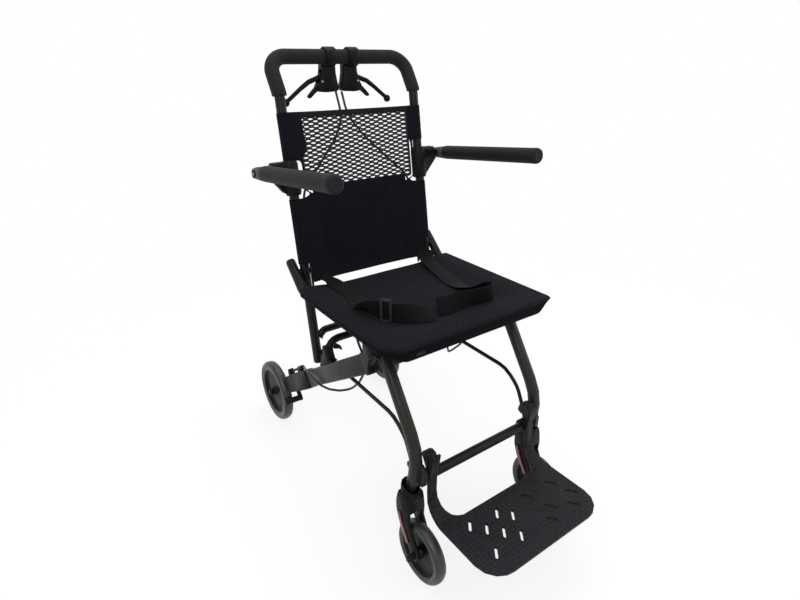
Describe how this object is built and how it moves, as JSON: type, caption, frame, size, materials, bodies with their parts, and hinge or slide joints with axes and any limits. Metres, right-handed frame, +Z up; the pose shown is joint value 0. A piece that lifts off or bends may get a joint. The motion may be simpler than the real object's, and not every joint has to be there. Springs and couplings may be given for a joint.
{
  "type": "folding transport wheelchair",
  "caption": "Folding transport wheelchair with a net backrest, sling seat, flip-up armrests and footrest, swivelling front casters, braked rear wheels and a foam push bar.",
  "frame": {"origin": "middle of the chair's box on the floor", "axes": "+Z up, -Y towards the front (footrest), +X towards the sitter's left"},
  "size_m": [0.474, 0.8778, 0.9238],
  "materials": {
    "frame_paint": "satin black paint on steel tube",
    "leg_paint": "satin dark grey paint on the legs",
    "black_moulding": "black moulded plastic, fine grain",
    "grey_arm_end": "grey moulded end",
    "foam_rubber": "black foam rubber sleeve",
    "grey_tyre": "dark grey solid tyre, slightly glossy",
    "black_rim": "black moulded rim",
    "seat_cloth": "ribbed black seat cloth",
    "back_net": "black open mesh cloth",
    "belt_webbing": "black woven webbing",
    "red_reflector": "red reflector strip",
    "footplate_plastic": "dark grey plastic with a raised tread",
    "cable_sheath": "black cable sheath"
  },
  "bodies": {
    "seat": {"seat_tube": "frame_paint", "leg_hinge_bracket_left": "black_moulding", "leg_hinge_bracket_right": "black_moulding", "seat_cover": "seat_cloth", "brake_cable_mid_left": "cable_sheath", "brake_cable_mid_right": "cable_sheath", "belt_strap_left": "belt_webbing", "belt_strap_right": "belt_webbing", "belt_slide": "black_moulding"},
    "backrest": {"backrest_tube": "frame_paint", "backrest_cross_tube": "frame_paint", "foam_grip": "foam_rubber", "backrest_net": "back_net", "armrest_clamp_left": "black_moulding", "armrest_clamp_right": "black_moulding", "brake_lever_body_left": "black_moulding", "brake_lever_body_right": "black_moulding", "brake_cable_upper_left": "cable_sheath", "brake_cable_upper_right": "cable_sheath"},
    "links": {"link_left": "frame_paint", "link_right": "frame_paint"},
    "front_legs": {"front_leg_left": "leg_paint", "front_leg_right": "leg_paint", "front_cross_tube": "frame_paint"},
    "rear_legs": {"rear_leg_left": "leg_paint", "rear_leg_right": "leg_paint", "rear_leg_socket_left": "black_moulding", "rear_leg_socket_right": "black_moulding", "rear_cross_tube": "black_moulding", "hub_bracket_left": "black_moulding", "hub_bracket_right": "black_moulding", "brake_cable_lower_left": "cable_sheath", "brake_cable_lower_right": "cable_sheath"},
    "footrest": {"footrest": "footplate_plastic"},
    "fold_latch": {"fold_latch": "black_moulding"},
    "armrest_left": {"armrest_arm_left": "grey_arm_end", "armrest_pad_left": "foam_rubber"},
    "lever_left": {"brake_lever_left": "black_moulding"},
    "latch_left": {"parking_latch_left": "black_moulding"},
    "caster_left": {"caster_fork_left": "black_moulding", "reflector_outer_left": "red_reflector", "reflector_inner_left": "red_reflector"},
    "front_wheel_left": {"front_wheel_tyre_left": "grey_tyre", "front_wheel_rim_left": "black_rim"},
    "rear_wheel_left": {"rear_wheel_tyre_left": "grey_tyre", "rear_wheel_rim_left": "black_rim"},
    "brake_left": {"brake_arm_left": "black_moulding"},
    "armrest_right": {"armrest_arm_right": "grey_arm_end", "armrest_pad_right": "foam_rubber"},
    "lever_right": {"brake_lever_right": "black_moulding"},
    "latch_right": {"parking_latch_right": "black_moulding"},
    "caster_right": {"caster_fork_right": "black_moulding", "reflector_outer_right": "red_reflector", "reflector_inner_right": "red_reflector"},
    "front_wheel_right": {"front_wheel_tyre_right": "grey_tyre", "front_wheel_rim_right": "black_rim"},
    "rear_wheel_right": {"rear_wheel_tyre_right": "grey_tyre", "rear_wheel_rim_right": "black_rim"},
    "brake_right": {"brake_arm_right": "black_moulding"}
  },
  "joints": [
    {"name": "backrest_fold", "type": "hinge", "parent": "seat", "child": "backrest", "pos_m": [0, 0.142, 0.493], "axis": [1, 0, 0], "range_deg": [0, 60]},
    {"name": "front_legs_fold", "type": "hinge", "parent": "seat", "child": "front_legs", "pos_m": [0, -0.139, 0.436], "axis": [1, 0, 0], "range_deg": [0, 52.7]},
    {"name": "rear_legs_fold", "type": "hinge", "parent": "seat", "child": "rear_legs", "pos_m": [0, -0.139, 0.436], "axis": [1, 0, 0], "range_deg": [0, 18.7]},
    {"name": "links_fold", "type": "hinge", "parent": "backrest", "child": "links", "pos_m": [0, 0.1119, 0.305], "axis": [1, 0, 0], "range_deg": [-51.1, 0]},
    {"name": "footrest_flip", "type": "hinge", "parent": "front_legs", "child": "footrest", "pos_m": [0, -0.245, 0.211], "axis": [-1, 0, 0], "range_deg": [0, 90]},
    {"name": "fold_latch_turn", "type": "hinge", "parent": "rear_legs", "child": "fold_latch", "pos_m": [-0.141, 0.067, 0.343], "axis": [0, 1, 0], "range_deg": [0, 20], "stiffness_Nm_per_rad": 0.05},
    {"name": "armrest_flip_left", "type": "hinge", "parent": "backrest", "child": "armrest_left", "pos_m": [0.222, 0.173, 0.7], "axis": [-1, 0, 0], "range_deg": [0, 95]},
    {"name": "caster_swivel_left", "type": "hinge", "parent": "front_legs", "child": "caster_left", "pos_m": [0.157, -0.233, 0.175], "axis": [0, 0, 1], "continuous": true},
    {"name": "front_wheel_spin_left", "type": "hinge", "parent": "caster_left", "child": "front_wheel_left", "pos_m": [0.157, -0.27, 0.0625], "axis": [1, 0, 0], "continuous": true},
    {"name": "rear_wheel_spin_left", "type": "hinge", "parent": "rear_legs", "child": "rear_wheel_left", "pos_m": [0.171, 0.3575, 0.0813], "axis": [1, 0, 0], "continuous": true},
    {"name": "lever_squeeze_left", "type": "hinge", "parent": "backrest", "child": "lever_left", "pos_m": [0.04, 0.247, 0.868], "axis": [0, -1, 0], "range_deg": [0, 18], "stiffness_Nm_per_rad": 0.5},
    {"name": "latch_turn_left", "type": "hinge", "parent": "backrest", "child": "latch_left", "pos_m": [0.047, 0.247, 0.85], "axis": [0, -1, 0], "range_deg": [0, 25]},
    {"name": "brake_press_left", "type": "hinge", "parent": "rear_legs", "child": "brake_left", "pos_m": [0.16, 0.289, 0.124], "axis": [1, 0, 0], "range_deg": [0, 4]},
    {"name": "armrest_flip_right", "type": "hinge", "parent": "backrest", "child": "armrest_right", "pos_m": [-0.222, 0.173, 0.7], "axis": [-1, 0, 0], "range_deg": [0, 95]},
    {"name": "caster_swivel_right", "type": "hinge", "parent": "front_legs", "child": "caster_right", "pos_m": [-0.157, -0.233, 0.175], "axis": [0, 0, 1], "continuous": true},
    {"name": "front_wheel_spin_right", "type": "hinge", "parent": "caster_right", "child": "front_wheel_right", "pos_m": [-0.157, -0.27, 0.0625], "axis": [1, 0, 0], "continuous": true},
    {"name": "rear_wheel_spin_right", "type": "hinge", "parent": "rear_legs", "child": "rear_wheel_right", "pos_m": [-0.171, 0.3575, 0.0813], "axis": [1, 0, 0], "continuous": true},
    {"name": "lever_squeeze_right", "type": "hinge", "parent": "backrest", "child": "lever_right", "pos_m": [-0.04, 0.247, 0.868], "axis": [0, 1, 0], "range_deg": [0, 18], "stiffness_Nm_per_rad": 0.5},
    {"name": "latch_turn_right", "type": "hinge", "parent": "backrest", "child": "latch_right", "pos_m": [-0.047, 0.247, 0.85], "axis": [0, 1, 0], "range_deg": [0, 25]},
    {"name": "brake_press_right", "type": "hinge", "parent": "rear_legs", "child": "brake_right", "pos_m": [-0.16, 0.289, 0.124], "axis": [1, 0, 0], "range_deg": [0, 4]}
  ],
  "couplings": [
    {"joint": "front_legs_fold", "follows": "backrest_fold", "ratio": 0.877},
    {"joint": "rear_legs_fold", "follows": "backrest_fold", "ratio": 0.31},
    {"joint": "links_fold", "follows": "backrest_fold", "ratio": -0.851},
    {"joint": "brake_press_left", "follows": "lever_squeeze_left", "ratio": 0.22},
    {"joint": "brake_press_right", "follows": "lever_squeeze_right", "ratio": 0.22}
  ]
}
